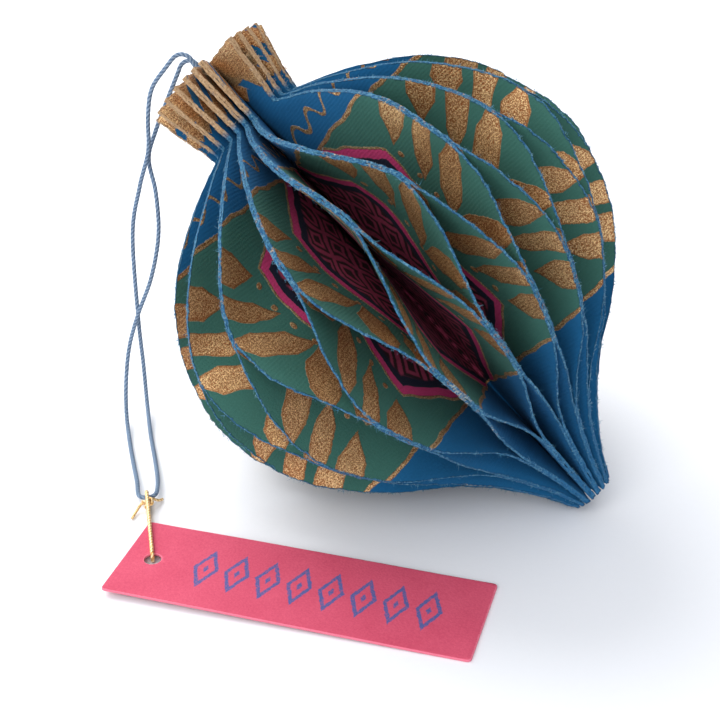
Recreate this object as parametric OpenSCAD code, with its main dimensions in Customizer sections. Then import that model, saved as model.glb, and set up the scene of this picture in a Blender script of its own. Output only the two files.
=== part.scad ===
/* [Paper body] */
// Folded sheets set round the axis, two leaves to each
sheets = 18; // [14:1:22]
// Thickness of the cotton paper
paper_t = 0.6; // [0.4:0.05:0.7]
// Film of glue between two leaves that are joined
glue_t = 0.05; // [0.03:0.01:0.1]
// Height of the paper from the tip to the neck
body_h = 95.5; // [80:0.5:120]
// Radius at the widest place
belly_r = 44.6; // [36:0.1:52]
// Radius of the tip
tip_r = 4.5; // [4.3:0.1:6]
// Depth of the hollow in the middle of the tip
tip_hollow = 1.8; // [0.5:0.1:3]

/* [Crown] */
// Height of the flared crown above the neck
crown_h = 14.5; // [8:0.5:22]
// Radius at the neck
neck_r = 10.8; // [9:0.1:15]
// Radius of the crown's rim
crown_r = 14; // [12:0.1:20]
// Rise of the crown's top edge towards the axis
crown_dome = 0.8; // [0.2:0.1:2]

/* [Glued joints] */
// Height where the joints inside the sheets end
upper_joint = 66; // [60:0.5:72]
// Height of the top of the joints between sheets
middle_joint_top = 41; // [37:0.5:46]
// Height of the foot of the joints between sheets
middle_joint_foot = 29; // [25:0.5:33]
// Height where the joints near the tip begin
lower_joint = 16; // [11:0.5:20]
// How far a joint's end strays from its height
joint_stray = 1.2; // [0:0.1:2]

/* [Hand-set spacing] */
// How far the body's leaves crowd towards the front
body_crowd = 8.8; // [0:0.1:10]
// How far the crown's leaves crowd towards the front
crown_crowd = 41; // [0:1:42]
// Half of the gap that stands open in the crown
crown_part = 16; // [0:1:18]

/* [Hanging cord] */
// Diameter of the cord
cord_d = 0.9; // [0.6:0.05:0.95]
// Diameter of the knot that holds the cord in the hollow core
knot_d = 5.4; // [4:0.1:5.8]
// Length of the knot
knot_l = 5; // [4:0.5:8]

/* [Tag] */
// Length of the tag
tag_l = 68; // [50:1:80]
// Width of the tag
tag_w = 21.2; // [16:0.1:26]
// Thickness of the card that the tag is cut from
tag_t = 0.5; // [0.3:0.05:0.5]
// Radius of the tag's corners
tag_corner = 0.6; // [0.2:0.1:3]
// Diameter of the punched hole
tag_hole_d = 3.2; // [2.6:0.1:4.5]
// Distance of the hole's centre from the tag's end
tag_hole_in = 5.4; // [4:0.1:9]
// Diameter of the thread that ties the tag on
tie_d = 0.9; // [0.6:0.05:0.9]

/* [Hidden] */
sheet_names = [for (k = [1:sheets]) str("sheet_", k < 10 ? "0" : "", k)];

// Angles: leaf i stands half a leaf_step to one side of its sheet's middle
leaf_step = 180 / sheets;
paper_h = body_h + crown_h;
// Where the leaves touch each other round the axis
core_r = (paper_t + glue_t) * sheets / PI;
fold_r = core_r - paper_t;

// Outline of a leaf: share of the height, share of the way to the belly
lower_knots = [[0, 0], [0.085, 0.12], [0.19, 0.335], [0.295, 0.645], [0.42, 0.885], [0.59, 1]];
upper_knots = [[0.735, 0.91], [0.86, 0.68], [0.945, 0.34], [1, 0]];
body_knots = concat(
    [for (p = lower_knots) [p[0] * body_h, tip_r + p[1] * (belly_r - tip_r)]],
    [for (p = upper_knots) [p[0] * body_h, neck_r + p[1] * (belly_r - neck_r)]]
);
body_spans = len(body_knots) - 1;
body_rows = 22;
crown_rows = 2;
row_count = body_rows + crown_rows + 1;

// Places round the axis, counted from the line that lies on the table
crowd_at = 148;
crown_crowd_at = 136;
part_at = leaf_step * 15;

function clamp(u) = min(1, max(0, u));
function ease(u) = let (v = clamp(u)) v * v * (3 - 2 * v);
// Paper leaves a joint at a small angle, then runs nearly straight
function ramp(u) = let (v = clamp(u)) 0.45 * v + 0.55 * ease(v);
function wrap(a) = a - 360 * floor((a + 180) / 360);

// Smooth curve through the outline's points
function knot(i) = i < 0 ? 2 * body_knots[0] - body_knots[1]
    : i > body_spans ? 2 * body_knots[body_spans] - body_knots[body_spans - 1]
    : body_knots[i];
function spline(a, b, c, d, u) =
    0.5 * (2 * b + u * (c - a) + u * u * (2 * a - 5 * b + 4 * c - d) + u * u * u * (3 * b - a - 3 * c + d));
function outline(s) = let (i = min(body_spans - 1, floor(s)))
    spline(knot(i - 1), knot(i), knot(i + 1), knot(i + 2), s - i);

// Row n of a leaf: height, outer radius, and how far it rises towards the axis
function row(n) = n <= body_rows
    ? concat(outline(n * body_spans / body_rows), [n == 0 ? tip_hollow : 0])
    : let (u = (n - body_rows) / crown_rows)
        [body_h + u * crown_h - (u == 1 ? crown_dome : 0), neck_r + u * (crown_r - neck_r), u == 1 ? crown_dome : 0];
rows = [for (n = [0:row_count - 1]) row(n)];

// Each joint's end strays a little from its height, the same way every time
function stray(j, n) = joint_stray * sin(97 * j + 61 * n) * cos(41 * j - 23 * n);

// Share by which the gap between leaf j and leaf j + 1 is closed at height z
function closed(j, z) = j % 2 == 0
    ? max(
        ramp((z - middle_joint_top) / (upper_joint + stray(j, 1) - middle_joint_top)),
        ramp((middle_joint_foot - z) / (middle_joint_foot - lower_joint - stray(j, 2))))
    : z > (middle_joint_top + middle_joint_foot) / 2
        ? ramp((upper_joint - z) / (upper_joint - middle_joint_top - stray(j, 3)))
        : ramp((z - lower_joint) / (middle_joint_foot + stray(j, 4) - lower_joint));

// Hand-set unevenness of the fan, fading out at the axis where leaves are tight
function body_shift(a) = let (d = wrap(a - crowd_at)) abs(d) < 90 ? -body_crowd * sin(2 * d) : 0;
function crown_shift(a) = let (d = wrap(a - part_at))
    crown_part * sign(d) * (1 - abs(d) / 180) - crown_crowd * sin(a - crown_crowd_at);
function rest_angle(i, r, z) = let (
        a = (i - 0.5) * leaf_step,
        c = ease((z - upper_joint) / (body_h - upper_joint)))
    a + (1 - core_r / r) * ((1 - c) * body_shift(a) + c * crown_shift(a));

// Half of what the gap between leaf j and leaf j + 1 can close at radius r
function half_gap(j, r, z) =
    (rest_angle(j + 1, r, z) - rest_angle(j, r, z) - (paper_t + glue_t) / r * 180 / PI) / 2;
function leaf_angle(i, r, z) =
    rest_angle(i, r, z) + closed(i, z) * half_gap(i, r, z) - closed(i - 1, z) * half_gap(i - 1, r, z);

// A point of leaf i at row w and radius r, on its face towards side
function leaf_point(i, w, r, side) =
    let (a = leaf_angle(i, r, w[0]) + side * paper_t / (2 * r) * 180 / PI)
    [r * cos(a), r * sin(a), w[0] + w[2] * (w[1] - r) / (w[1] - core_r)];
function fold_point(k, w, r, side) =
    let (a = 2 * k * leaf_step + side * (leaf_step - glue_t / (2 * r) * 180 / PI))
    [r * cos(a), r * sin(a), w[0] + w[2]];

// Section of sheet k at row w: out along one leaf's back, round the fold, and home along the inner faces
function sheet_section(k, w) = let (a = 2 * k, b = 2 * k + 1, m = (core_r + w[1]) / 2) [
    leaf_point(a, w, w[1], -1),
    leaf_point(a, w, m, -1),
    fold_point(k, w, fold_r, -1),
    fold_point(k, w, fold_r, 1),
    leaf_point(b, w, m, 1),
    leaf_point(b, w, w[1], 1),
    leaf_point(b, w, w[1], -1),
    leaf_point(b, w, m, -1),
    fold_point(k, w, core_r, 0),
    leaf_point(a, w, m, 1),
    leaf_point(a, w, w[1], 1)
];
section_n = 11;
// Spans of the section whose faces are split the other way, so that facing leaves match
turned_spans = [3, 4, 8, 9];
end_faces = [[0, 1, 9], [0, 9, 10], [1, 2, 8], [1, 8, 9], [2, 3, 8], [3, 4, 7], [3, 7, 8], [4, 5, 6], [4, 6, 7]];

function side_faces(n, i) =
    let (a = n * section_n + i, b = n * section_n + (i + 1) % section_n, c = a + section_n, d = b + section_n)
    len(search(i, turned_spans)) > 0 ? [[a, b, c], [b, d, c]] : [[a, b, d], [a, d, c]];
sheet_faces = concat(
    [for (f = end_faces) [f[2], f[1], f[0]]],
    [for (n = [0:row_count - 2], i = [0:section_n - 1], f = side_faces(n, i)) f],
    [for (f = end_faces) [for (v = f) v + (row_count - 1) * section_n]]
);
sheet_points = [for (k = [0:sheets - 1]) [for (w = rows) each sheet_section(k, w)]];

// The bauble lies on its tip and its belly: the steepest line from one to the other
tip_reach = max([for (s = sheet_points, i = [0:section_n - 1]) s[i][0]]);
lean = max([for (s = sheet_points, p = s) if (p[2] > tip_r) atan2(p[0] - tip_reach, p[2])]);
function laid(p) = [-p[0] * sin(lean) - p[2] * cos(lean), -p[1], p[2] * sin(lean) - p[0] * cos(lean)];
laid_points = [for (s = sheet_points, p = s) laid(p)];
function middle(axis) = (max([for (p = laid_points) p[axis]]) + min([for (p = laid_points) p[axis]])) / 2;
seat = [-middle(0), -middle(1), -min([for (p = laid_points) p[2]])];

module folded_sheet(k) {
    color("steelblue")
        translate(seat)
            rotate([0, lean - 90, 0])
                rotate([0, 0, 180])
                    polyhedron(points = sheet_points[k], faces = sheet_faces, convexity = 6);
}

// The cord leaves the core, falls over the crown's rim and lies on the table as far as the tag's thread,
// turns there and comes back beside itself
cord_route = [
    [-28, -0.7, 68.5], [-38.7, -0.7, 77.4], [-40.7, -0.8, 79.9], [-42.9, -1.6, 80.2], [-44.8, -3, 77.9],
    [-47.8, -4, 73.6], [-48.9, -4.6, 68], [-50.2, -3.9, 60.6], [-53.5, -3.5, 52.4], [-57, -3, 41],
    [-57.2, -4, 22], [-58, -3, 10], [-55.8, -6.1, 2.7], [-49.7, -14, 0.65], [-43.3, -21.8, 0.65],
    [-38.4, -28, 1.1], [-35.9, -31.7, 1.43], [-35.1, -33.7, 1.43], [-35.8, -35.1, 1.43],
    [-37.3, -35.5, 1.43], [-38.6, -34.5, 1.43], [-41.3, -31, 1.2], [-46.8, -24.6, 0.65],
    [-53, -17.2, 0.65], [-57.6, -11.3, 2.8], [-58.5, -8.9, 9.3], [-58.7, -6.2, 16], [-55.6, -6, 24.2],
    [-52, -4.9, 33], [-50, -3.6, 42.5], [-50.4, -2.5, 51.2], [-52, -1.5, 58], [-49.6, -1.5, 64.2],
    [-46.2, -1.1, 71.2], [-43.9, -0.6, 76], [-43.1, 0.2, 78], [-41.3, 0.7, 78.7], [-39.4, 0.8, 77.6],
    [-34, 0.9, 73.4], [-28, 0.9, 68.5]
];
cord_rings = 79;

// The thread's loop stands on edge: distance from the hole towards the cord, and height
tie_start = [-23.6, -51.4];
tie_towards = [-36.6, -34.3];
tie_loop = [
    [2.6, 2], [1.1, 2], [0.45, 1.65], [0.3, 1.2], [0.45, 0.75], [1.1, 0.48], [2.6, 0.48], [10, 0.48],
    [18.9, 0.48], [20.2, 0.48], [21.1, 0.65], [21.65, 1.1], [21.65, 1.7], [21.1, 2.25], [20.2, 2.42], [18.9, 2.38],
    [10, 2.18]
];

tag_turn = 9.8;
clearance = 0.08;
// The thread that passes under the tag holds that end off the table
tag_lift = tie_d + clearance;
tag_tilt = asin(tag_lift / (tag_l - tag_hole_in));

tube_sides = 8;
function unit(v) = v / norm(v);
function route_point(route, i) = let (n = len(route))
    i < 0 ? 2 * route[0] - route[1] : i > n - 1 ? 2 * route[n - 1] - route[n - 2] : route[i];
function route_at(route, s) = let (i = min(len(route) - 2, floor(s)))
    spline(route_point(route, i - 1), route[i], route[i + 1], route_point(route, i + 2), s - i);
function loop_at(loop, s) = let (n = len(loop), i = floor(s))
    spline(loop[(i + n - 1) % n], loop[i % n], loop[(i + 1) % n], loop[(i + 2) % n], s - i);

// One ring of a tube: its sides lie on a circle square to the way that the tube runs
function ring(centre, along, d) = let (
        side = unit(cross(along, abs(along[2]) > 0.9 ? [0, 1, 0] : [0, 0, 1])),
        top = cross(side, along))
    [for (i = [0:tube_sides - 1]) centre + d / 2 * (cos(i * 360 / tube_sides) * side + sin(i * 360 / tube_sides) * top)];

// Sides of a tube between one ring and the next, wound so that they face outwards
function band(a, b) = [for (i = [0:tube_sides - 1])
    let (j = (i + 1) % tube_sides) each [[a + i, a + j, b + i], [a + j, b + j, b + i]]];

// A tube swept along points, with a flat cap at each end
module tube(points, d) {
    n = len(points);
    rings = [for (i = [0:n - 1]) ring(points[i], unit(points[min(n - 1, i + 1)] - points[max(0, i - 1)]), d)];
    first_cap = [for (i = [tube_sides - 1:-1:0]) i];
    last_cap = [for (i = [0:tube_sides - 1]) (n - 1) * tube_sides + i];
    walls = [for (k = [0:n - 2]) each band(k * tube_sides, (k + 1) * tube_sides)];
    polyhedron(points = [for (r = rings) each r], faces = concat([first_cap, last_cap], walls), convexity = 10);
}

// A tube whose end runs back into its beginning
module closed_tube(points, d) {
    n = len(points);
    rings = [for (i = [0:n - 1]) ring(points[i], unit(points[(i + 1) % n] - points[(i + n - 1) % n]), d)];
    walls = [for (k = [0:n - 1]) each band(k * tube_sides, (k + 1) % n * tube_sides)];
    polyhedron(points = [for (r = rings) each r], faces = walls, convexity = 10);
}

module hanging_cord() {
    points = [for (i = [0:cord_rings - 1]) route_at(cord_route, i * (len(cord_route) - 1) / (cord_rings - 1))];
    color("lightsteelblue")
        tube(points, cord_d);
}

// The knot sits in the hollow core, right under the two ends of the cord
module cord_knot() {
    r = knot_d / 2;
    ends = (cord_route[0] + cord_route[len(cord_route) - 1]) / 2;
    color("lightsteelblue")
        translate(ends)
            rotate([0, lean - 90, 0])
                translate([0, 0, -knot_l - clearance])
                    rotate_extrude($fn = 24)
                        intersection() {
                            translate([0, knot_l / 2])
                                scale([1, knot_l / knot_d * 1.15])
                                    circle(r = r, $fn = 32);
                            square([r, knot_l]);
                        }
}

module tag_tie() {
    run = unit(tie_towards - tie_start);
    points = [for (i = [0:2 * len(tie_loop) - 1])
        let (p = loop_at(tie_loop, i / 2)) [tie_start[0] + p[0] * run[0], tie_start[1] + p[0] * run[1], p[1]]];
    color("gold")
        closed_tube(points, tie_d);
}

module tag() {
    color("hotpink")
        translate([tie_start[0], tie_start[1], tag_lift])
            rotate([0, 0, tag_turn])
                rotate([0, tag_tilt, 0])
                    difference() {
                        translate([-tag_hole_in, -tag_w / 2, 0])
                            linear_extrude(tag_t)
                                tag_outline();
                        translate([0, 0, -tag_t])
                            cylinder(d = tag_hole_d, h = 3 * tag_t, $fn = 48);
                    }
}

module tag_outline() {
    hull()
        for (x = [tag_corner, tag_l - tag_corner], y = [tag_corner, tag_w - tag_corner])
            translate([x, y])
                circle(r = tag_corner, $fn = 24);
}

for (k = [0:sheets - 1])
    folded_sheet(k);
cord_knot();
hanging_cord();
tag_tie();
tag();
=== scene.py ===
# Dresses the honeycomb paper bauble: torn and printed leaves, the cord, the tag and the thread that ties it.
# Shapes are worked out in millimetres, in the bauble's own frame, and laid down on the table at the end.
import math

import bpy
import numpy as np
from mathutils import Matrix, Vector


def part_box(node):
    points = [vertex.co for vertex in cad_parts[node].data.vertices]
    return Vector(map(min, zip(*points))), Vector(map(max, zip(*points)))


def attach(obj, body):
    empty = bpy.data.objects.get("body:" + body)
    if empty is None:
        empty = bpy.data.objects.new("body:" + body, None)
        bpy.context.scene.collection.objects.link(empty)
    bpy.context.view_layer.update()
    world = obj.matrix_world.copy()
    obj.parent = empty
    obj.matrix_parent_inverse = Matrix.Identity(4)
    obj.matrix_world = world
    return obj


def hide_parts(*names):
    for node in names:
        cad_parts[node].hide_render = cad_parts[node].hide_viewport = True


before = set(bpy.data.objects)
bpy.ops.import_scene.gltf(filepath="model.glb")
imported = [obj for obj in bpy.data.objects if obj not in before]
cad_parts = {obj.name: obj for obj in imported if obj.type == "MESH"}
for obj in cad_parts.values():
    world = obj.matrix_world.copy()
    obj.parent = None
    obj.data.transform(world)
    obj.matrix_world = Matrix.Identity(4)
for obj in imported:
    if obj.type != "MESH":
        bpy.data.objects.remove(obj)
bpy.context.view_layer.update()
print("frame loaded")

mm = 0.001
mapUnit = 100  # mm that one unit of a piece's map stands for
leastHeight = 0.02  # mm over the table, so that nothing reaches below it


def sRgb(red, green, blue):
    # screen colour 0-255 to the linear values that a shader takes
    parts = np.array([red, green, blue]) / 255
    linear = np.where(parts <= 0.04045, parts / 12.92, ((parts + 0.055) / 1.055) ** 2.4)
    return (*linear.tolist(), 1.0)


def stand(holder, place, right, up, back):
    # puts a camera or lamp at a place in mm, turned so that its own axes are the three given
    matrix = np.eye(4)
    matrix[:3, :3] = np.column_stack([right, up, back])
    matrix[:3, 3] = np.array(place) * mm
    holder.matrix_world = Matrix(matrix.tolist())


# the camera stands where the photo was taken from
view = {
    "place": (108.78, -219.05, 158.0),  # mm
    "turn": 27.70,   # degrees round the table, from +Y towards -X
    "dip": 28.90,    # degrees down
    "roll": -1.64,
    "lens": 70.34,
}


def makeCamera():
    # turned about the upright axis, dipped, then rolled about the line of sight
    turn, dip, roll = (math.radians(view[key]) for key in ("turn", "dip", "roll"))
    ahead = np.array([-math.sin(turn) * math.cos(dip), math.cos(turn) * math.cos(dip), -math.sin(dip)])
    level = np.array([math.cos(turn), math.sin(turn), 0])
    above = np.cross(level, ahead)
    right = level * math.cos(roll) + above * math.sin(roll)
    up = above * math.cos(roll) - level * math.sin(roll)
    camera = bpy.data.cameras.new("camera")
    camera.lens = view["lens"]
    camera.sensor_width = 36
    camera.clip_start = 0.01
    holder = bpy.data.objects.new("camera", camera)
    bpy.context.scene.collection.objects.link(holder)
    stand(holder, view["place"], right, up, -ahead)
    bpy.context.scene.camera = holder


makeCamera()
print("camera set")


class Wire:
    # a socket that can be added, multiplied and compared in an expression
    def __init__(self, board, socket):
        self.board = board
        self.socket = socket

    def __add__(self, other):
        return self.board.maths("ADD", self, other)

    __radd__ = __add__

    def __sub__(self, other):
        return self.board.maths("SUBTRACT", self, other)

    def __rsub__(self, other):
        return self.board.maths("SUBTRACT", other, self)

    def __mul__(self, other):
        return self.board.maths("MULTIPLY", self, other)

    __rmul__ = __mul__

    def __truediv__(self, other):
        return self.board.maths("DIVIDE", self, other)

    def __mod__(self, other):
        return self.board.maths("FLOORED_MODULO", self, other)

    def __abs__(self):
        return self.board.maths("ABSOLUTE", self)

    def most(self, other):
        return self.board.maths("MAXIMUM", self, other)

    def above(self, edge, soft):
        # 0 below the edge, 1 above it, with a soft step between
        step = self.board.node("ShaderNodeMath", {"operation": "MULTIPLY_ADD", "use_clamp": True},
                               {0: self - edge, 1: 1 / soft, 2: 0.5})
        return self.board.wire(step)

    def below(self, edge, soft):
        return 1 - self.above(edge, soft)


class Board:
    # the nodes of one material
    def __init__(self, name):
        self.material = bpy.data.materials.new(name)
        self.material.use_nodes = True
        self.tree = self.material.node_tree
        self.tree.nodes.clear()
        self.surface = self.node("ShaderNodeBsdfPrincipled")
        output = self.node("ShaderNodeOutputMaterial")
        self.tree.links.new(self.surface.outputs[0], output.inputs["Surface"])

    def node(self, kind, settings=None, inputs=None):
        # a node of the given type, its settings set before its sockets
        made = self.tree.nodes.new(kind)
        for key, value in (settings or {}).items():
            setattr(made, key, value)
        self.fill(made, inputs or {})
        return made

    def fill(self, node, inputs):
        # a wire is linked to its socket, and a plain value is set on it
        for key, value in inputs.items():
            if isinstance(value, Wire):
                self.tree.links.new(value.socket, node.inputs[key])
            else:
                node.inputs[key].default_value = value

    def wire(self, node, output=0):
        return Wire(self, node.outputs[output])

    def maths(self, operation, *values):
        return self.wire(self.node("ShaderNodeMath", {"operation": operation}, dict(enumerate(values))))

    def noise(self, place, scale, detail=2.0, rough=0.5, stretch=None):
        # cloudy noise from 0 to 1, scale in lumps per millimetre where place is in metres
        if stretch:
            mapping = self.node("ShaderNodeMapping", {"vector_type": "POINT"}, {0: place, "Scale": stretch})
            place = self.wire(mapping)
        inputs = {"Vector": place, "Scale": scale / mm, "Detail": detail, "Roughness": rough}
        return self.wire(self.node("ShaderNodeTexNoise", {"noise_dimensions": "3D"}, inputs))

    def mix(self, share, first, second):
        # first where share is 0, second where it is 1
        made = self.node("ShaderNodeMix", {"data_type": "RGBA"}, {0: share, 6: first, 7: second})
        return self.wire(made, 2)

    def shade(self, colour, amount):
        # a colour made lighter or darker by a number
        return self.wire(self.node("ShaderNodeVectorMath", {"operation": "SCALE"}, {0: colour, 3: amount}))

    def bump(self, height, depth):
        # a normal from heights of 0 to 1, depth in mm
        inputs = {"Height": height, "Distance": depth * mm, "Strength": 1.0}
        return self.wire(self.node("ShaderNodeBump", {}, inputs))

    def finish(self, inputs):
        self.fill(self.surface, inputs)
        return self.material

    def objectPlace(self):
        return self.wire(self.node("ShaderNodeTexCoord"), 3)

    def uv(self, name):
        # the piece's own map, split in its two numbers
        chosen = self.wire(self.node("ShaderNodeUVMap", {"uv_map": name}))
        split = self.node("ShaderNodeSeparateXYZ", {}, {0: chosen})
        return self.wire(split, 0), self.wire(split, 1)

    def attribute(self, name):
        return self.wire(self.node("ShaderNodeAttribute", {"attribute_name": name}), 2)


def makePiece(name, points, quads, material, uv, attributes=None):
    # points in mm where they lie, quads as rows of four point numbers
    # the sum of a . (b x c) and a . (c x d) over the quads is negative where they face inwards
    points = np.asarray(points, dtype=float).reshape(-1, 3) * mm
    points[:, 2] = np.maximum(points[:, 2], leastHeight * mm)
    quads = np.asarray(quads, dtype=np.int32)
    a, b, c, d = (points[quads[:, i]] for i in range(4))
    volume = np.einsum("ij,ij->", a, np.cross(b, c)) + np.einsum("ij,ij->", a, np.cross(c, d))
    if volume < 0:
        quads = quads[:, ::-1]
    mesh = bpy.data.meshes.new(name)
    mesh.vertices.add(len(points))
    mesh.vertices.foreach_set("co", points.ravel())
    mesh.loops.add(quads.size)
    mesh.loops.foreach_set("vertex_index", quads.ravel())
    mesh.polygons.add(len(quads))
    mesh.polygons.foreach_set("loop_start", np.arange(0, quads.size, 4, dtype=np.int32))
    mesh.polygons.foreach_set("use_smooth", np.ones(len(quads), dtype=bool))
    uv = np.asarray(uv, dtype=float).reshape(-1, 2)
    mesh.uv_layers.new(name="place").uv.foreach_set("vector", uv[quads.ravel()].ravel())
    for key, values in (attributes or {}).items():
        layer = mesh.attributes.new(key, "FLOAT", "POINT")
        layer.data.foreach_set("value", np.asarray(values, dtype=float).ravel())
    mesh.update()
    mesh.validate()
    mesh.materials.append(material)
    piece = bpy.data.objects.new(name, mesh)
    bpy.context.scene.collection.objects.link(piece)
    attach(piece, "root")
    return piece


def gridQuads(rows, columns, closedRows=False):
    # every cell of a grid of points whose rows close on themselves, and its columns too where it says so
    row = np.arange(rows if closedRows else rows - 1)
    r, c = np.meshgrid(row, np.arange(columns), indexing="ij")
    rNext, cNext = (r + 1) % rows, (c + 1) % columns
    corners = [r * columns + c, r * columns + cNext, rNext * columns + cNext, rNext * columns + c]
    return np.stack(corners, -1).reshape(-1, 4)


def waves(seed, place, lengths):
    # sum of sines of the given wave lengths, each as high as its length's share, between about -1 and 1
    rng = np.random.default_rng(seed)
    lengths = np.asarray(lengths, dtype=float)
    heights = lengths / lengths.sum()
    phases = rng.uniform(0, 2 * np.pi, len(lengths))
    return (heights * np.sin(2 * np.pi * np.asarray(place)[..., None] / lengths + phases)).sum(-1)


def roughLine(seed, place, gap):
    # random heights from -1 to 1, one at each gap along a line, joined by straight runs
    place = np.asarray(place, dtype=float)
    rng = np.random.default_rng(seed)
    start = math.floor(place.min() / gap) - 1
    count = math.ceil(place.max() / gap) - start + 2
    return np.interp(place, (start + np.arange(count)) * gap, rng.uniform(-1, 1, count))


def splineThrough(knots, count, closed=False):
    # a cubic through each knot whose slope there is half the step between its two neighbours
    knots = np.asarray(knots, dtype=float)
    n = len(knots)
    if closed:
        at = np.linspace(0, n, count, endpoint=False)
        i = np.floor(at).astype(int)
        a, b, c, d = (knots[(i + k) % n] for k in (-1, 0, 1, 2))
    else:
        at = np.linspace(0, n - 1, count)
        i = np.minimum(np.floor(at).astype(int), n - 2)
        longer = np.vstack([2 * knots[0] - knots[1], knots, 2 * knots[-1] - knots[-2]])
        a, b, c, d = (longer[i + k] for k in (0, 1, 2, 3))
    u = (at - i)[:, None]
    return 0.5 * (2 * b + u * (c - a) + u**2 * (2 * a - 5 * b + 4 * c - d) + u**3 * (3 * b - a - 3 * c + d))


def lengthAlong(points):
    # the steps from point to point, added up
    step = np.linalg.norm(np.diff(points, axis=0), axis=1)
    return np.concatenate([[0], np.cumsum(step)])


def evenly(points, gap):
    # the same line with its points an even gap apart
    along = lengthAlong(points)
    count = max(4, int(round(along[-1] / gap)) + 1)
    at = np.linspace(0, along[-1], count)
    return np.column_stack([np.interp(at, along, points[:, i]) for i in range(3)])


def unit(v):
    # the vector over its own length
    return v / np.linalg.norm(v, axis=-1, keepdims=True)


def tubeAlong(points, side, radius, sides, closed=False):
    # rings of points round a line: centre + radius(angle, length) * (cos(angle) * n + sin(angle) * b)
    if closed:
        ahead = unit(np.roll(points, -1, 0) - np.roll(points, 1, 0))
    else:
        ahead = unit(np.gradient(points, axis=0))
    n = unit(side - (side * ahead).sum(-1, keepdims=True) * ahead)
    b = np.cross(ahead, n)
    angle = np.arange(sides) * 2 * np.pi / sides
    along = lengthAlong(points)[:, None]
    size = radius(angle[None, :], along)[..., None]
    over, beside = np.cos(angle)[None, :, None], np.sin(angle)[None, :, None]
    ring = points[:, None] + size * (over * n[:, None] + beside * b[:, None])
    shape = size.shape[:2]
    return ring, np.broadcast_to(along, shape), np.broadcast_to(angle, shape)


def ply(diameter, strands, pitch, depth):
    # radius of a cord laid from several strands that turn once in each pitch:
    # half the diameter * (1 - depth + depth * |cos(strands / 2 * (angle - turn))| ** 0.7)
    def radius(angle, along):
        lobe = np.abs(np.cos(strands / 2 * (angle - 2 * np.pi * along / pitch)))
        return diameter / 2 * (1 - depth + depth * lobe**0.7)
    return radius


def capped(rings, sides):
    # quads that close the two ends of a tube with an even number of sides
    first = np.arange(sides // 2 - 1)
    cap = np.stack([first, first + 1, sides - 2 - first, sides - 1 - first], -1)
    return np.concatenate([cap[:, ::-1], cap + (rings - 1) * sides])


def threadMaterial(name, values, metal, rough):
    # |sin(strands / 2 * (angle - turn))| is 0 on a strand's back and 1 in the groove between two; the backs are painted lighter as a painted highlight, which leaves the grooves darker as painted shade
    board = Board(name)
    along, around = board.uv("place")
    place = board.objectPlace()
    turn = around * 2 * math.pi - along * (2 * math.pi * mapUnit / values["pitch"])
    groove = abs(board.maths("SINE", turn * (values["strands"] / 2)))
    hairs = board.noise(place, 5.0, 3.0, 0.6)
    patches = board.noise(place, 0.25, 2.0)
    colour = board.mix(hairs.above(0.5, 0.3), values["dark"], values["colour"])
    # painted highlight: the strand backs are mixed towards the lighter colour, and the grooves stay darker as
    # painted shade
    colour = board.mix((1 - groove).above(0.35, 0.6) * 0.7, colour, values["light"])
    colour = board.shade(colour, 0.85 + patches * 0.3)
    height = hairs * 0.6 + groove * -0.4
    return board.finish({"Base Color": colour, "Roughness": rough, "Metallic": metal,
                         "Normal": board.bump(height, 0.06), "Specular IOR Level": 0.3})


# the cord, in mm: out of the crown, down to the table, round the thread and back
cord = {
    "diameter": 0.9,
    "route": [
        [-28, -0.7, 68.5], [-38.7, -0.7, 77.4], [-40.7, -0.8, 79.9], [-42.9, -1.6, 80.2], [-44.8, -3, 77.9],
        [-47.8, -4, 73.6], [-48.9, -4.6, 68], [-50.2, -3.9, 60.6], [-53.5, -3.5, 52.4], [-57, -3, 41],
        [-57.2, -4, 22], [-58, -3, 10], [-55.8, -6.1, 2.7], [-49.7, -14, 0.65], [-43.3, -21.8, 0.65],
        [-38.4, -28, 1.1], [-35.9, -31.7, 1.43], [-35.1, -33.7, 1.43], [-35.8, -35.1, 1.43],
        [-37.3, -35.5, 1.43], [-38.6, -34.5, 1.43], [-41.3, -31, 1.2], [-46.8, -24.6, 0.65],
        [-53, -17.2, 0.65], [-57.6, -11.3, 2.8], [-58.5, -8.9, 9.3], [-58.7, -6.2, 16], [-55.6, -6, 24.2],
        [-52, -4.9, 33], [-50, -3.6, 42.5], [-50.4, -2.5, 51.2], [-52, -1.5, 58], [-49.6, -1.5, 64.2],
        [-46.2, -1.1, 71.2], [-43.9, -0.6, 76], [-43.1, 0.2, 78], [-41.3, 0.7, 78.7], [-39.4, 0.8, 77.6],
        [-34, 0.9, 73.4], [-28, 0.9, 68.5],
    ],
    "strands": 3,
    "pitch": 3.0,            # length in which a strand goes round once
    "depth": 0.14,           # share of the radius that the grooves cut in
    "colour": sRgb(96, 122, 152),
    # painted highlight colour, laid on the strand backs
    "light": sRgb(150, 168, 188),
    "dark": sRgb(56, 78, 106),
}
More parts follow.
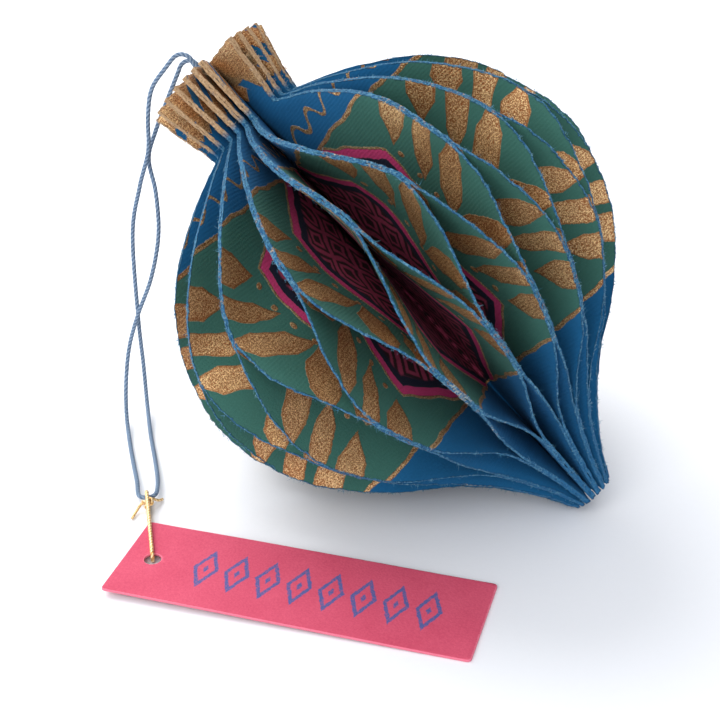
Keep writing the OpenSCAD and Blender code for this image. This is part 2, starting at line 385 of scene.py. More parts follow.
# the thread, in mm: its loop as distance from the tag's hole and height, its tails as steps
# across it, up and along it from its knot
tie = {
    "diameter": 0.8,
    "start": (-23.6, -51.4),
    "towards": (-36.6, -34.3),
    "loop": [
        [2.6, 2], [1.1, 2], [0.45, 1.65], [0.3, 1.2], [0.45, 0.75], [1.1, 0.48], [2.6, 0.48],
        [10, 0.48], [18.9, 0.48], [20.2, 0.48], [21.1, 0.65], [21.65, 1.1], [21.65, 1.7],
        [21.1, 2.25], [20.2, 2.42], [18.9, 2.38], [10, 2.18],
    ],
    "knotAt": (18.4, 1.5),
    "knotSize": 0.62,
    "tails": [
        [(0, 0, 0), (-1.2, -0.1, 0), (-2.2, -0.75, -1.0), (-3.3, -1.12, -3.0)],
        [(0, 0, 0), (0.9, 0.3, 0.7), (2.1, -0.5, 1.2), (2.9, -1.12, 2.3)],
    ],
    "tailDiameter": 0.62,
    "strands": 2,
    "pitch": 1.7,
    "depth": 0.25,
    "colour": sRgb(240, 196, 124),
    # painted highlight colour, laid on the strand backs
    "light": sRgb(255, 236, 190),
    "dark": sRgb(176, 124, 66),
}

cordPaint = threadMaterial("cordPaint", cord, metal=0.0, rough=0.75)
tiePaint = threadMaterial("tiePaint", tie, metal=0.65, rough=0.34)
threadSides, tailSides = 12, 8  # points round a cord


def threadMap(along, angle):
    # length and share of a turn
    return np.stack([along / mapUnit, angle / (2 * np.pi)], -1)


def twisted(values, diameter=None):
    # the twist of the cord or the thread, at its own diameter unless another is given
    return ply(diameter or values["diameter"], values["strands"], values["pitch"], values["depth"])


def makeCord():
    # the twisted profile carried along the route's curve
    line = evenly(splineThrough(cord["route"], 1600), 0.36)
    low = np.clip((8 - line[:, 2]) / 6, 0, 1)[:, None]  # on the table the rings are set out from above
    side = np.array([0, 1, 0]) * (1 - low) + np.array([0, 0, 1]) * low
    ring, along, angle = tubeAlong(line, side, twisted(cord), threadSides)
    quads = np.concatenate([gridQuads(len(line), threadSides), capped(len(line), threadSides)])
    piece = makePiece("cordLine", ring, quads, cordPaint, threadMap(along, angle))
    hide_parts("hanging_cord")
    return piece, line


def trefoil(count, first, second, third):
    # (sin t + 2 sin 2t) * first + (cos t - 2 cos 2t) * second - sin 3t * third, for a whole turn of t
    t = np.linspace(0, 2 * np.pi, count, endpoint=False)[:, None]
    sideways, over = np.sin(t) + 2 * np.sin(2 * t), np.cos(t) - 2 * np.cos(2 * t)
    return sideways * first + over * second - np.sin(3 * t) * third


def makeTie():
    # the loop's curve, a trefoil where it is tied near the cord, and the two ends that leave the knot
    start, towards = np.array(tie["start"], float), np.array(tie["towards"], float)
    run = unit(towards - start)
    cross = np.array([run[1], -run[0], 0.0])
    ahead = np.array([*run, 0.0])
    rise = np.array([0.0, 0.0, 1.0])
    foot = np.array([*start, 0.0])
    away, height = tie["knotAt"]
    end = foot + away * ahead + height * rise
    loop = foot + splineThrough(tie["loop"], 260, closed=True) @ np.array([ahead, rise])
    knot = end + tie["knotSize"] * trefoil(90, 0.55 * cross, 0.55 * rise, 0.9 * ahead)
    ways = np.array([cross, rise, ahead])
    tails = [splineThrough(end + np.array(steps) @ ways, 40) for steps in tie["tails"]]
    thin = tie["tailDiameter"]
    strands = [(loop, cross, None, threadSides, True), (knot, ahead, thin, tailSides, True)]
    strands += [(tail, rise, thin, tailSides, False) for tail in tails]
    points, faces, uv = [], [], []
    for line, side, diameter, sides, closed in strands:
        side = np.broadcast_to(side, line.shape)
        ring, along, angle = tubeAlong(line, side, twisted(tie, diameter), sides, closed=closed)
        quads = gridQuads(len(line), sides, closedRows=closed)
        if not closed:
            quads = np.concatenate([quads, capped(len(line), sides)])
        faces.append(quads + sum(len(p) for p in points))
        points.append(ring.reshape(-1, 3))
        uv.append(threadMap(along, angle).reshape(-1, 2))
    points, faces, uv = (np.concatenate(v) for v in (points, faces, uv))
    piece = makePiece("tieThread", points, faces, tiePaint, uv)
    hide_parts("tag_tie")
    return piece


cordKnot = {"across": 5.2, "thread": 0.95, "depth": 0.2, "rise": 1.9}  # mm, mm, share, share of its width


def makeCordKnot():
    # a trefoil of cord, squeezed into the space of the knot in the hollow core
    low, high = (np.array(v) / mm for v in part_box("cord_knot"))
    lean = math.radians(bauble["lean"])
    axis = np.array([-math.cos(lean), 0, math.sin(lean)])
    first = np.array([0, 1.0, 0])
    size = (cordKnot["across"] - cord["diameter"]) / 6
    line = (low + high) / 2 + size * trefoil(150, first, np.cross(axis, first), cordKnot["rise"] * axis)
    twist = ply(cordKnot["thread"], cord["strands"], cord["pitch"], cordKnot["depth"])
    ring, along, angle = tubeAlong(line, np.broadcast_to(axis, line.shape), twist, threadSides, closed=True)
    quads = gridQuads(len(line), threadSides, closedRows=True)
    piece = makePiece("cordKnot", ring, quads, cordPaint, threadMap(along, angle))
    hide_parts("cord_knot")
    return piece


# the folded sheets: lengths and heights in mm, places round the axis in degrees
bauble = {
    "sheets": 18, "paper": 0.6, "glue": 0.05,
    "bodyHeight": 95.5, "belly": 44.6, "tip": 4.5, "tipHollow": 1.8,
    "crownHeight": 14.5, "neck": 10.8, "crown": 14.0, "crownDome": 0.8,
    "upperJoint": 66.0, "middleTop": 41.0, "middleFoot": 29.0, "lowerJoint": 16.0, "jointStray": 1.2,
    "bodyCrowd": 8.8, "crownCrowd": 41.0, "crownPart": 16.0,
    "crowdAt": 148.0, "crownCrowdAt": 136.0, "partAt": 150.0,
    "lean": 42.3577, "seat": (43.5224, 0.0936912, 3.32524),
}
torn = {
    "rows": 311,        # points along a leaf's edge
    "ragged": 0.32,     # mm that the torn edge wanders
    "nicks": [(0.5, 1.7), (0.35, 0.8), (0.3, 0.4)],  # share and spacing in mm of each size of nick
    "rim": 0.24,        # mm that the rounded rim reaches out
    "fuzz": 0.14,       # mm that the torn rim is rough
    "sway": 0.45,       # mm that a leaf's face waves
    "thinned": 0.11,    # share of the thickness that each face loses at a free edge
    "swollen": 0.02,    # mm that a joined edge swells
    "frayed": 0.16,     # mm that the leaf's two cut ends wander
}
fibre = {
    "count": 320,            # on each leaf's edge
    "length": (0.17, 0.11),  # mm at least, and the scale of what most have more
    "radius": 0.034,
}

leafCount = 2 * bauble["sheets"]
leafStep = 360 / leafCount
sheetHeight = bauble["bodyHeight"] + bauble["crownHeight"] - bauble["crownDome"]
coreRadius = (bauble["paper"] + bauble["glue"]) * bauble["sheets"] / math.pi
foldRadius = coreRadius - bauble["paper"]
lowerKnots = [[0, 0], [0.085, 0.12], [0.19, 0.335], [0.295, 0.645], [0.42, 0.885], [0.59, 1]]
upperKnots = [[0.735, 0.91], [0.86, 0.68], [0.945, 0.34], [1, 0]]


def outlineKnots(knots, least):
    # shares of the body's height, and of the way from its least radius to the belly's, made mm
    return [[a * bauble["bodyHeight"], least + b * (bauble["belly"] - least)] for a, b in knots]


bodyKnots = outlineKnots(lowerKnots, bauble["tip"]) + outlineKnots(upperKnots, bauble["neck"])
outlineCurve = splineThrough(bodyKnots, 2001)


def sine(degrees):
    return np.sin(np.radians(degrees))


def cosine(degrees):
    return np.cos(np.radians(degrees))


def ease(u):
    # 3u^2 - 2u^3 between 0 and 1
    v = np.clip(u, 0, 1)
    return v * v * (3 - 2 * v)


def ramp(u):
    # 0.45 u + 0.55 ease(u): paper leaves a joint at a small angle, then runs nearly straight
    return 0.45 * np.clip(u, 0, 1) + 0.55 * ease(u)


def wrap(degrees):
    # the same direction between -180 and 180
    return degrees - 360 * np.floor((degrees + 180) / 360)


def outerRadius(z):
    # the outline's curve up to the neck, then a straight flare to the crown's rim
    body = np.interp(z, outlineCurve[:, 0], outlineCurve[:, 1])
    share = (z - bauble["bodyHeight"]) / bauble["crownHeight"]
    flare = bauble["neck"] + share * (bauble["crown"] - bauble["neck"])
    return np.where(z > bauble["bodyHeight"], flare, body)


def stray(gap, n):
    # each joint ends a little higher or lower than the next
    return bauble["jointStray"] * sine(97 * gap + 61 * n) * cosine(41 * gap - 23 * n)


def closed(gap, z):
    # share by which the gap between one leaf and the next is closed at height z
    top, foot, upper, lower = (bauble[k] for k in ("middleTop", "middleFoot", "upperJoint", "lowerJoint"))
    inside = np.maximum(ramp((z - top) / (upper + stray(gap, 1) - top)),
                        ramp((foot - z) / (foot - lower - stray(gap, 2))))
    between = np.where(z > (top + foot) / 2, ramp((upper - z) / (upper - top - stray(gap, 3))),
                       ramp((z - lower) / (foot + stray(gap, 4) - lower)))
    return np.where(gap % 2 == 0, inside, between)


def restAngle(leaf, r, z):
    # where a leaf stands before its joints pull it: crowded to the front, and parted in the crown
    a = (leaf - 0.5) * leafStep
    share = ease((z - bauble["upperJoint"]) / (bauble["bodyHeight"] - bauble["upperJoint"]))
    front = wrap(a - bauble["crowdAt"])
    body = np.where(np.abs(front) < 90, -bauble["bodyCrowd"] * sine(2 * front), 0)
    part = wrap(a - bauble["partAt"])
    crown = (bauble["crownPart"] * np.sign(part) * (1 - np.abs(part) / 180)
             - bauble["crownCrowd"] * sine(a - bauble["crownCrowdAt"]))
    return a + (1 - coreRadius / r) * ((1 - share) * body + share * crown)


def halfGap(gap, r, z):
    # half the free angle between two leaves: their own thickness and the glue taken off
    apart = restAngle(gap + 1, r, z) - restAngle(gap, r, z)
    return (apart - np.degrees((bauble["paper"] + bauble["glue"]) / r)) / 2


def sway(leaf, r, z):
    # soft waves in mm: leaves that share a joint share its wave, so they never meet
    k, b = leaf // 2, (leaf + 1) // 2 % bauble["sheets"]
    inside = closed(2 * k, z)
    between = closed((2 * b - 1) % leafCount, z)
    total = np.maximum(inside + between, 1e-6)
    first = np.zeros(np.shape(z))
    for share, seed in ((inside / total, 100 + k), (between / total, 200 + b)):
        wave = 0.6 * waves(seed, z + 0.6 * r, [46, 29, 17]) + 0.4 * waves(seed + 50, z - 0.9 * r, [31, 13, 8])
        first = first + share * wave
    return torn["sway"] * first * np.clip((r - 7) / 30, 0, 1)


def leafAngle(leaf, r, z):
    # its rest angle, moved by the share of each closed gap beside it, and by its own waves
    angle = (restAngle(leaf, r, z) + closed(leaf, z) * halfGap(leaf, r, z)
             - closed(leaf - 1, z) * halfGap(leaf - 1, r, z))
    return angle + np.degrees(sway(leaf % leafCount, r, z) / r)


def laid(points):
    # from the bauble's own frame, axis up, to how it lies on its tip and belly
    lean = bauble["lean"]
    x, y, z = points[..., 0], points[..., 1], points[..., 2]
    down = np.stack([-x * sine(lean) - z * cosine(lean), -y, z * sine(lean) - x * cosine(lean)], -1)
    return down + np.array(bauble["seat"])


def tornEdge(leaf, z):
    # a torn edge wanders inwards by a fraction of a millimetre, in long waves and short nicks
    long = waves(300 + leaf, z, [19, 11, 6.3])
    nicks = sum(part * roughLine(400 + 40 * i + leaf, z, gap) for i, (part, gap) in enumerate(torn["nicks"]))
    return torn["ragged"] * (-0.8 + 0.6 * long + nicks)


def glued(gap, z):
    # 1 where the gap between one leaf and the next is glued shut, 0 where it stands open
    return ease((closed(gap, z) - 0.9) / 0.1)


def sharedEdge(leaf, z):
    # two edges that are glued together wander together
    before, own, after = (tornEdge((leaf + step) % leafCount, z) for step in (-1, 0, 1))
    return own + 0.4 * glued(leaf - 1, z) * (before - own) + 0.4 * glued(leaf, z) * (after - own)


# the columns of a leaf's face stand closer where it comes to its torn edge, share 1; the fold is share 0
fromEdgeShares = [0, 0.007, 0.018, 0.035, 0.065, 0.11, 0.17, 0.25, 0.34, 0.44, 0.55, 0.67, 0.79, 0.9, 1]
faceShares = 1 - np.array(fromEdgeShares)
rimTurns = np.radians([36, 72, 108, 144])


def makeSheet(k, material):
    # one closed skin: out along both outer faces and round the fold, then round the rims and home inside
    # point = (r cos(angle), r sin(angle), height), with r and angle worked out below for the whole grid
    z = np.linspace(0, sheetHeight, torn["rows"])
    n = len(faceShares)
    sides, shares, bulges, leaves = [], [], [], []

    def run(leaf, side, order):
        leaves.extend([leaf] * n)
        sides.extend([side] * n)
        shares.extend(faceShares[order])
        bulges.extend([0.0] * n)

    def turn(leaf, sign):
        # a torn rim is nearly square, with its corners rounded off
        leaves.extend([leaf] * len(rimTurns))
        sides.extend(sign * np.sign(np.cos(rimTurns)) * np.abs(np.cos(rimTurns)) ** 0.6)
        shares.extend([1.0] * len(rimTurns))
        bulges.extend(np.sin(rimTurns) ** 0.6)

    inwards, outwards = slice(None), slice(None, None, -1)
    a, b = 2 * k, 2 * k + 1
    run(a, -1, inwards)
    run(b, 1, outwards)
    turn(b, 1)
    run(b, -1, inwards)
    run(a, 1, outwards)
    turn(a, 1)
    leaves, sides, shares, bulges = (np.array(v)[None, :] for v in (leaves, sides, shares, bulges))
    tear = np.where(leaves == a, sharedEdge(a, z)[:, None], sharedEdge(b, z)[:, None])
    edge = outerRadius(z)[:, None] + tear
    zz = np.broadcast_to(z[:, None], edge.shape)
    # share by which each face is glued to the leaf beside it
    joined = np.where(sides > 0, glued(leaves, zz), glued(leaves - 1, zz))
    bulges = np.where(shares == 1, np.maximum(bulges, 0.96 * joined), bulges)
    r = coreRadius + (edge - torn["rim"] - coreRadius) * shares + torn["rim"] * bulges
    angle = np.where(leaves == a, leafAngle(a, r, zz), leafAngle(b, r, zz))
    # a free edge is thinned by the tear, and one that is joined swells until it meets its partner
    near = np.clip(1 - (edge - r) / 1.6, 0, 1)
    rough = roughLine(500 + k, zz + 3 * leaves + 1.7 * bulges, 0.45) * torn["fuzz"] * (bulges > 0)
    thick = bauble["paper"] * (0.5 - torn["thinned"] * near * (1 - joined)) + torn["swollen"] * joined * near
    angle = angle + sides * np.degrees(thick / r) + np.degrees(rough / r)
    # the two middle columns of each pass lie on the fold
    fold = np.array([n - 1, n])
    spread = leafStep - np.degrees(bauble["glue"] / (2 * foldRadius))
    r[:, fold] = foldRadius
    angle[:, fold] = 2 * k * leafStep + np.array([-spread, spread])
    inner = 2 * n + len(rimTurns) + fold
    r[:, inner] = coreRadius + 0.02
    angle[:, inner] = 2 * k * leafStep + np.array([0.15, -0.15])
    # the ends are hollow at the tip and domed at the crown
    lift = bauble["tipHollow"] * np.clip(1 - zz / 4.3, 0, 1)
    lift = lift + bauble["crownDome"] * np.clip((zz - 102.75) / 6.45, 0, 1)
    ends = np.clip((zz - sheetHeight + 1.5) / 1.5, 0, 1) + np.clip(1 - zz / 1.5, 0, 1)
    frayed = torn["frayed"] * waves(700 + k, r + 5 * leaves, [3.1, 1.7, 1.0]) * ends
    height = zz + lift * (edge - r) / (edge - coreRadius) + frayed - 0.12 * ends * (zz > 50)
    points = laid(np.stack([r * cosine(angle), r * sine(angle), height], -1))
    columns = points.shape[1]
    quads = gridQuads(len(z), columns)
    half = n * 2
    first = np.arange(half - 1)
    partner = 2 * half + len(rimTurns) - 1 - first
    cap = np.stack([first, first + 1, partner - 1, partner], -1)
    hoops = []
    for start in (half - 1, 2 * half + len(rimTurns) - 1):
        ring = (start + np.arange(6)) % columns
        hoops += [[ring[0], ring[1], ring[4], ring[5]], [ring[1], ring[2], ring[3], ring[4]]]
    cap = np.concatenate([cap, np.array(hoops)])
    quads = np.concatenate([quads, cap[:, ::-1], cap + (len(z) - 1) * columns])
    fromEdge = np.minimum(edge - r, np.minimum(sheetHeight - zz, zz + 0.3))
    leafTone = np.broadcast_to(sine(leaves * 131.0), r.shape)
    piece = makePiece(f"paperSheet{k + 1:02d}", points, quads, material, np.stack([r, zz], -1) / mapUnit,
                      {"fromEdge": fromEdge, "leafTone": leafTone})
    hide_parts(f"sheet_{k + 1:02d}")


def makeFibres(material):
    # loose fibres: thin tubes of 3 rings with 3 sides along root + length * (t * first + 0.45 t^2 * bend)
    rng = np.random.default_rng(7)
    leaf = np.repeat(np.arange(leafCount), fibre["count"])
    count = len(leaf)
    z = rng.uniform(1, 109, count)
    z = np.clip(z - 0.7 * np.sin(2 * np.pi * z / 3.7 + leaf), 0.5, 109)
    r = outerRadius(z) - 0.25
    angle = leafAngle(leaf, r, z) + np.degrees(rng.uniform(-0.3, 0.3, count) / r)
    root = np.stack([r * cosine(angle), r * sine(angle), z], -1)
    outward = np.stack([cosine(angle), sine(angle), 0 * z], -1)
    around = np.stack([-sine(angle), cosine(angle), 0 * z], -1)
    up = np.array([0, 0, 1.0])
    lean = rng.normal(0, 1, (count, 4))
    first = unit(outward + 0.6 * lean[:, :1] * around + 0.8 * lean[:, 1:2] * up)
    bend = 0.9 * (lean[:, 2:3] * around + lean[:, 3:4] * up)
    least, more = fibre["length"]
    length = rng.gamma(1.8, more, count)[:, None, None] + least
    t = np.linspace(0, 1, 3)[None, :, None]
    line = root[:, None] + length * (t * first[:, None] + t**2 * 0.45 * bend[:, None])
    ahead = unit(np.gradient(line, axis=1))
    n = unit(np.cross(ahead, around[:, None] + 0.31 * up))
    b = np.cross(ahead, n)
    turns = np.arange(3) * 2 * np.pi / 3
    over, beside = np.cos(turns)[:, None], np.sin(turns)[:, None]
    size = (fibre["radius"] * (1.2 - t))[..., None]
    ring = line[:, :, None] + size * (over * n[:, :, None] + beside * b[:, :, None])
    one = gridQuads(3, 3)
    quads = (one[None] + 9 * np.arange(count)[:, None, None]).reshape(-1, 4)
    uv = np.broadcast_to(np.stack([r, z], -1)[:, None] / mapUnit, (count, 9, 2))
    makePiece("edgeFibres", laid(ring.reshape(-1, 3)), quads, material, uv)


inks = {
    "blue": sRgb(14, 86, 131),
    "green": sRgb(50, 96, 87),
    "gold": sRgb(255, 222, 166),
    "goldDeep": sRgb(158, 98, 56),
    "magenta": sRgb(188, 58, 112),
    "plum": sRgb(160, 62, 94),
    "night": sRgb(46, 24, 29),
    "ring": sRgb(22, 30, 50),
    "edge": sRgb(70, 131, 164),
    "edgeDeep": sRgb(16, 76, 122),
    "tuft": sRgb(128, 172, 192),
    "bare": sRgb(186, 182, 164),
    "tipEdge": sRgb(30, 102, 152),
    "crownEdge": sRgb(214, 182, 143),
    "crownEdgeDeep": sRgb(166, 128, 92),
}
# print: distances in mm from the bauble's axis (radius) and from its tip (height)
design = {
    "wander": 2.2,             # mm that the printed lines drift
    "belt": (30.5, 83.4),      # heights of the green belt's two borders
    "heart": 57.0,             # height of the middle of the magenta shape
    "heartRadius": 27.5,       # of its straight side
    "heartSlope": (55.0, 33.0),  # radius and height at which its slanting sides would end
    "heartBand": 0.062,        # share of the shape's size
    "lattice": 9.6,            # pitch of the plum lattice
    "barPitch": 6.6,           # across the gold bars
    "barHalf": (2.75, 8.6),    # half a bar's width and length
    "barTilt": 34.0,           # degrees
    "barPlace": (37.4, 1.2),   # radius of the bars' middles, and the space between the two groups
    "bars": 3,                 # in each group
    "dots": (30.25, 4.6, 17.0),  # radius and pitch of the row of dots, and how far up it goes
    "line": 0.4,               # half the width of the belt's gold borders
    "wave": (88.2, 1.5, 7.4),  # height, swing and length of the line on the shoulder
    "crownFoot": 98.0,         # where the crown's gold begins
    "crownTooth": (6.4, 0.9),  # pitch and steepness of its teeth
    "crownStripe": 5.0,        # pitch of the blue stripes in it
    "rib": 0.66,               # pitch of the paper's fine ribs
    "crownEdge": (97.0, 1.6),  # where the torn edge turns from blue to pale, and how softly
}


def paperMaterial():
    # the print is drawn in radius and height, so that it follows each leaf, and its lines wander a little
    board = Board("printedPaper")
    u, v = board.uv("place")
    place = board.objectPlace()
    r, z = u * mapUnit, v * mapUnit
    fromEdge = board.attribute("fromEdge")
    tone = board.attribute("leafTone")
    drift = board.noise(place, 0.12, 1.0)
    drift2 = board.noise(place, 0.15, 1.0, stretch=(1.0, -1.0, 1.0))
    ragged = board.noise(place, 1.6, 4.0, 0.62)
    grain = board.noise(place, 2.6, 4.0, 0.75)
    specks = board.noise(place, 4.3, 2.0, 0.7)
    fine = board.noise(place, 2.2, 6.0, 0.62)
    soft = 0.14
    rough = (ragged - 0.5) * 0.5
    rr = r + (drift - 0.5) * design["wander"] + rough
    zz = z + (drift2 - 0.5) * design["wander"] + rough * 0.8

    foot, top = design["belt"]
    belt = zz.above(foot, soft) * zz.below(top, soft)
    lines = abs(zz - foot).below(design["line"], soft).most(abs(zz - top).below(design["line"], soft))
    up = abs(zz - design["heart"])
    wide, steep = design["heartSlope"]
    size = (rr / design["heartRadius"]).most(rr / wide + up / steep)
    inside = size.below(1 - design["heartBand"], 0.006)
    band = size.above(1 - design["heartBand"], 0.006) * size.below(1.0, 0.006)
    outline = size.above(1.0, 0.006) * size.below(1.018, 0.008) * belt  # a thin gold line round it
    # lattice inside the magenta shape
    pitch = design["lattice"]
    bent = (drift2 - 0.5) * 3.0
    first = abs(((rr + up + bent) / pitch) % 1.0 - 0.5)
    second = abs(((rr - up - bent) / pitch) % 1.0 - 0.5)
    square = first.most(second)
    field = size.below(0.87, 0.02)
    lattice = square.above(0.405, 0.05).most(abs(square - 0.22).below(0.06, 0.05)) * field
    # two groups of slanting gold bars with pointed ends, one above the other, mirrored at the middle
    tilt = math.radians(design["barTilt"])
    middle, space = design["barPlace"]
    across = (up - space) * math.cos(tilt) - (rr - middle) * math.sin(tilt)
    along = (up - space) * math.sin(tilt) + (rr - middle) * math.cos(tilt)
    pitch, (acrossHalf, alongHalf) = design["barPitch"], design["barHalf"]
    row = board.maths("FLOOR", across / pitch)
    fromRow = across - (row + 0.5) * pitch
    fromMiddle = along - (row + 0.5) * (pitch * math.tan(tilt))
    slim = 1 - (row % 2.0) * 0.26  # every second bar is slimmer
    pastShoulder = (abs(fromMiddle) - 0.4 * alongHalf).most(0.0)
    pointed = abs(fromRow) / (slim * acrossHalf) + pastShoulder / (0.6 * alongHalf)
    inGroup = row.above(-0.5, 0.1) * row.below(design["bars"] - 0.5, 0.1)
    bars = pointed.below(1.0, 0.06) * inGroup * size.above(1.03, 0.01)
    # a row of dots beside the magenta shape's straight side
    dotRadius, dotPitch, dotReach = design["dots"]
    dotX = rr - dotRadius
    dotY = abs(zz % dotPitch - dotPitch / 2)
    dots = (dotX * dotX + dotY * dotY).below(0.4, 0.2) * up.below(dotReach, 0.1)
    # a waving line on the shoulder, and gold over blue on the crown
    waveHeight, swing, waveLength = design["wave"]
    crest = board.maths("SINE", rr * (2 * math.pi / waveLength)) * swing
    wave = abs(zz - waveHeight - crest).below(0.45, 0.16)
    toothPitch, steepness = design["crownTooth"]
    tooth = abs(rr % toothPitch - toothPitch / 2)
    stripe = abs((rr * 0.75 + zz * 0.66) % design["crownStripe"] - design["crownStripe"] / 2).above(1.0, 0.14)
    plainRim = tone.below(-0.1, 0.1) * zz.above(102.6, 0.2)  # some leaves have no stripes at the crown's rim
    crownGold = (zz - design["crownFoot"] - tooth * steepness).above(0.0, 0.2) * stripe.most(plainRim)
    gold = (bars.most(dots) * belt).most(outline * 0.7).most(lines).most(wave).most(crownGold)
    gold = gold * (1 - inside * belt) * (1 - band * belt)

    cloud = board.noise(place, 0.09, 3.0)
    ground = board.mix(belt, inks["blue"], inks["green"])
    ground = board.mix(band * belt, ground, inks["magenta"])
    filling = board.mix(lattice, board.mix(field, inks["ring"], inks["night"]), inks["plum"])
    ground = board.mix(inside * belt, ground, filling)
    ground = board.shade(ground, 0.74 + cloud * 0.34 + fine * 0.24 + tone * 0.04)
    rib = board.maths("SINE", (z + (drift - 0.5) * 1.2) * (2 * math.pi / design["rib"]))
    flecks = specks.above(0.28, 0.12)
    goldInk = gold * (0.78 + flecks * 0.22)
    glitter = (specks * 0.85 + cloud * 0.15 + rib * 0.02).above(0.525, 0.17)
    metalColour = board.mix(glitter, inks["goldDeep"], inks["gold"])
    barRim = pointed.above(0.86, 0.05) * pointed.below(1.06, 0.02) * bars
    metalColour = board.mix(barRim * 0.6, metalColour, inks["goldDeep"])
    printed = board.mix(goldInk, ground, metalColour)

    # the print is worn off along the torn edge, where the dyed fibres show
    wear = (fromEdge + (ragged - 0.5) * 0.8).below(0.14, 0.2)
    crownShare = z.above(*design["crownEdge"])
    edgeColour = board.mix((grain * 0.7 + fine * 0.3).above(0.5, 0.12), inks["edgeDeep"], inks["edge"])
    edgeColour = board.mix(fine.above(0.61, 0.10) * 0.8, edgeColour, inks["tuft"])
    edgeColour = board.shade(edgeColour, 0.72 + board.noise(place, 0.16, 2.0, 0.6) * 0.56)
    # here and there the undyed core of the paper shows
    bare = board.noise(place, 0.055, 1.0).above(0.71, 0.04) * fine.above(0.53, 0.08) * 0.75
    edgeColour = board.mix(bare, edgeColour, inks["bare"])
    edgeColour = board.mix(z.below(12.0, 16.0) * 0.7, edgeColour, inks["tipEdge"])
    crownColour = board.mix(grain.above(0.5, 0.25), inks["crownEdgeDeep"], inks["crownEdge"])
    edgeColour = board.mix(crownShare, edgeColour, crownColour)
    colour = board.mix(wear, printed, edgeColour)

    metal = goldInk * (1 - wear) * 0.8
    roughness = 0.9 - metal * 0.6 + (specks - 0.5) * 0.2
    height = fine * 0.7 + rib * 0.09 + specks * goldInk * 1.1 + wear * grain * 3.0
    return board.finish({"Base Color": colour, "Metallic": metal, "Roughness": roughness,
                         "Normal": board.bump(height, 0.16), "Specular IOR Level": 0.3})


def fibreMaterial():
    # blue or pale, as the torn edge is, and undyed at the crown
    board = Board("edgeFibre")
    height = board.uv("place")[1] * mapUnit
    pale = board.noise(board.objectPlace(), 0.7, 1.0).above(0.55, 0.3)
    colour = board.mix(pale, inks["edge"], inks["tuft"])
    colour = board.mix(height.above(*design["crownEdge"]), colour, inks["crownEdge"])
    return board.finish({"Base Color": colour, "Roughness": 0.9, "Specular IOR Level": 0.2})


# the swing tag, in mm and degrees
tag = {
    "length": 68.0, "width": 21.2, "thick": 0.5, "corner": 0.6,
    "hole": 3.2, "holeIn": 5.4, "lift": 0.98, "turn": 9.8,
    "bevel": 0.07, "bow": 0.12,
    "stampRun": (13.0, 61.0), "stampPitch": 6.0, "stampHalf": (2.3, 5.2),
    "pink": sRgb(212, 88, 114), "pinkDeep": sRgb(190, 64, 92), "cutEdge": sRgb(222, 116, 138),
    "stamp": sRgb(66, 90, 148),
}


def tagOutline(count):
    # the rounded rectangle as distance round it: straight runs joined by quarter circles
    w, h, c = tag["length"], tag["width"], tag["corner"]
    corners = [(c, c, 180), (w - c, c, 270), (w - c, h - c, 0), (c, h - c, 90)]
    arc = np.linspace(0, 90, 7)
    line = [np.column_stack([x + c * cosine(s + arc), y + c * sine(s + arc), 0 * arc]) for x, y, s in corners]
    line = np.concatenate(line + [line[0][:1]])
    return evenly(line, lengthAlong(line)[-1] / count)[:-1, :2]


def tagMaterial():
    # dyed card, paler where it is cut; a lozenge is |x| / half its width + |y| / half its height
    board = Board("tagCard")
    x, y = board.uv("place")
    place = board.objectPlace()
    x, y = x * mapUnit, y * mapUnit
    fromEdge = board.attribute("fromEdge")
    cloud = board.noise(place, 0.12, 3.0)
    fine = board.noise(place, 2.4, 6.0, 0.6)
    ragged = board.noise(place, 1.1, 4.0, 0.6)
    blotch = cloud.above(0.5, 0.5) * 0.4 + fine.above(0.5, 0.35) * 0.5
    colour = board.mix(blotch, tag["pink"], tag["pinkDeep"])
    # a row of stamped lozenge outlines along the face
    xx = x + (ragged - 0.5) * 0.7
    yy = y + (board.noise(place, 0.9, 4.0, 0.6) - 0.5) * 0.7
    (runStart, runEnd), pitch, (wide, high) = tag["stampRun"], tag["stampPitch"], tag["stampHalf"]
    cell = abs((xx - runStart) % pitch - pitch / 2)
    shape = cell / wide + abs(yy - tag["width"] / 2) / high
    mark = abs(shape - 0.9).below(0.17, 0.06)
    dot = shape.below(0.22, 0.08)
    inRun = xx.above(runStart, 0.1) * xx.below(runEnd, 0.1)
    top = board.attribute("topFace")
    stamp = mark.most(dot) * inRun * top
    worn = stamp * (0.55 + fine.above(0.42, 0.2) * 0.4)
    colour = board.mix(worn, colour, tag["stamp"])
    colour = board.mix((fromEdge + (fine - 0.5) * 0.5).below(0.12, 0.16), colour, tag["cutEdge"])
    height = fine * 0.8 + cloud * 0.5
    return board.finish({"Base Color": colour, "Roughness": 0.82 + (fine - 0.5) * 0.1,
                         "Normal": board.bump(height, 0.12), "Specular IOR Level": 0.3})


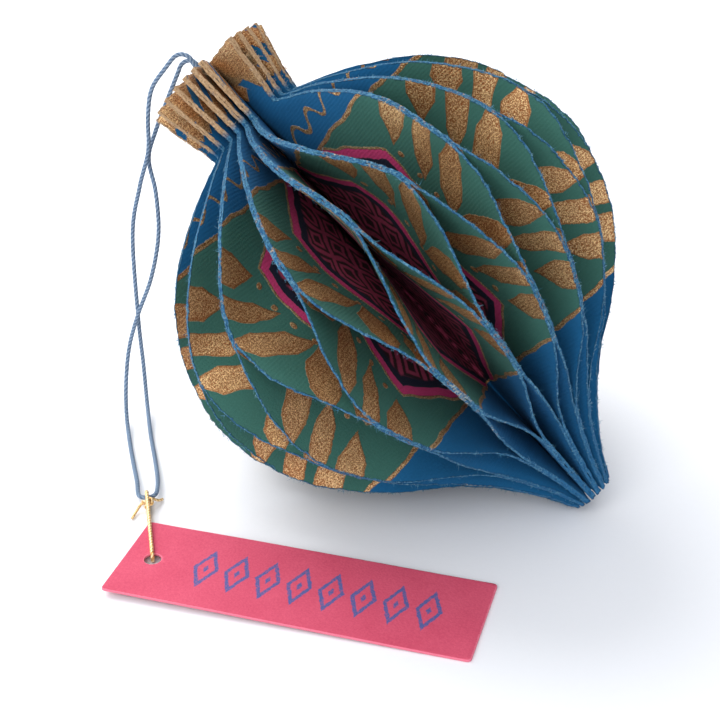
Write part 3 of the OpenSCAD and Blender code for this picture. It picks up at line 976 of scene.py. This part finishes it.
def makeTag():
    # a profile of share, inset and height, from the hole's wall over the top to the cut edge and back below,
    # carried round the outline: inner + (outer - inner) * share + outward * inset
    outer = tagOutline(420)
    centre = np.array([tag["holeIn"], tag["width"] / 2])
    inner = centre + tag["hole"] / 2 * unit(outer - centre)
    t, bevel = tag["thick"], tag["bevel"]
    shares = [0.02, 0.06, 0.14, 0.26, 0.4, 0.55, 0.7, 0.84, 0.94, 0.98]
    profile = [(0, 0, bevel), (0, 0, t - bevel), (0, bevel, t)] + [(s, 0, t) for s in shares]
    profile += [(1, -bevel, t), (1, 0, t - bevel), (1, 0, bevel), (1, -bevel, 0)]
    profile += [(s, 0, 0) for s in shares[::-1]] + [(0, bevel, 0)]
    share, inset, height = (np.array(v)[:, None] for v in zip(*profile))
    outward = unit(outer - centre)
    flat = inner[None] + (outer - inner)[None] * share[..., None] + outward[None] * inset[..., None]
    x, y = flat[..., 0] - tag["holeIn"], flat[..., 1] - tag["width"] / 2
    bow = tag["bow"] * waves(31, x, [60, 37]) * np.clip(x / 20, 0, 1) * np.clip((63 - x) / 20, 0, 1)
    z = height + bow + 0.05
    tilt = -math.asin(tag["lift"] / (tag["length"] - tag["holeIn"]))
    x, z = x * math.cos(tilt) - z * math.sin(tilt), x * math.sin(tilt) + z * math.cos(tilt)
    turn = math.radians(tag["turn"])
    world = np.stack([tie["start"][0] + x * math.cos(turn) - y * math.sin(turn),
                      tie["start"][1] + x * math.sin(turn) + y * math.cos(turn), tag["lift"] + z - 0.05], -1)
    rows, columns = world.shape[:2]
    reach = np.linalg.norm((outer - inner), axis=1)[None]
    fromEdge = np.minimum(share, 1 - share) * reach + 0 * height
    topFace = (height > t - 0.01) * np.ones_like(fromEdge)
    quads = gridQuads(rows, columns, closedRows=True)
    piece = makePiece("tagCard", world, quads, tagMaterial(), flat / mapUnit,
                      {"fromEdge": fromEdge, "topFace": topFace})
    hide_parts("tag")


cordPiece, cordLine = makeCord()
knotPiece = makeCordKnot()
tiePiece = makeTie()
makeTag()
print("cord, tie and tag made")

paper = paperMaterial()
for k in range(bauble["sheets"]):
    makeSheet(k, paper)
print("sheets made")
makeFibres(fibreMaterial())
print("fibres made")


table = {"white": sRgb(237, 239, 243), "shade": sRgb(233, 235, 240), "radius": 2500}


def makeTable():
    # a round floor: rings of 64 points round the middle
    board = Board("tablePaint")
    place = board.objectPlace()
    cloud = board.noise(place, 0.004, 2.0)
    fine = board.noise(place, 0.8, 3.0)
    colour = board.shade(board.mix(cloud, table["white"], table["shade"]), 0.98 + fine * 0.02)
    material = board.finish({"Base Color": colour, "Roughness": 0.6, "Normal": board.bump(fine, 0.02),
                             "Specular IOR Level": 0.25})
    sides = 64
    steps = np.linspace(0, 2 * np.pi, sides, endpoint=False)
    rings = np.array([0.001, 300, 1000, table["radius"]])
    x = rings[:, None] * np.cos(steps)
    y = rings[:, None] * np.sin(steps)
    points = np.stack([x, y, 0 * x], -1).reshape(-1, 3) * mm
    mesh = bpy.data.meshes.new("table")
    mesh.from_pydata(points.tolist(), [], gridQuads(len(rings), sides)[:, ::-1].tolist())
    mesh.materials.append(material)
    top = bpy.data.objects.new("table", mesh)
    bpy.context.scene.collection.objects.link(top)
    if mesh.polygons[0].normal.z < 0:
        mesh.flip_normals()


lights = {  # places and sizes in mm, power in watts
    "window": {"place": (-520, 240, 560), "size": 800, "power": 7.0, "colour": (1.0, 0.99, 0.97)},
    "front": {"place": (60, -620, 430), "size": 700, "power": 3.6, "colour": (1.0, 1.0, 1.0)},
}
lightsAim = (0, 0, 30)
sky = {"colour": (0.95, 0.965, 1.0, 1.0), "strength": 0.79}


def makeLights():
    # each lamp looks from its place to the aim; the sky fills in the rest
    for name, light in lights.items():
        lamp = bpy.data.lights.new(name, "AREA")
        lamp.shape = "DISK"
        lamp.size = light["size"] * mm
        lamp.energy = light["power"]
        lamp.color = light["colour"]
        holder = bpy.data.objects.new(name, lamp)
        bpy.context.scene.collection.objects.link(holder)
        away = unit(np.array(light["place"], float) - np.array(lightsAim, float))
        side = unit(np.cross([0, 0, 1.0], away))
        stand(holder, light["place"], side, np.cross(away, side), away)
    world = bpy.data.worlds.new("sky")
    world.use_nodes = True
    background = world.node_tree.nodes["Background"]
    background.inputs["Color"].default_value = sky["colour"]
    background.inputs["Strength"].default_value = sky["strength"]
    bpy.context.scene.world = world
    bpy.context.scene.view_settings.view_transform = "Standard"


makeTable()
makeLights()
print("table and lights set")
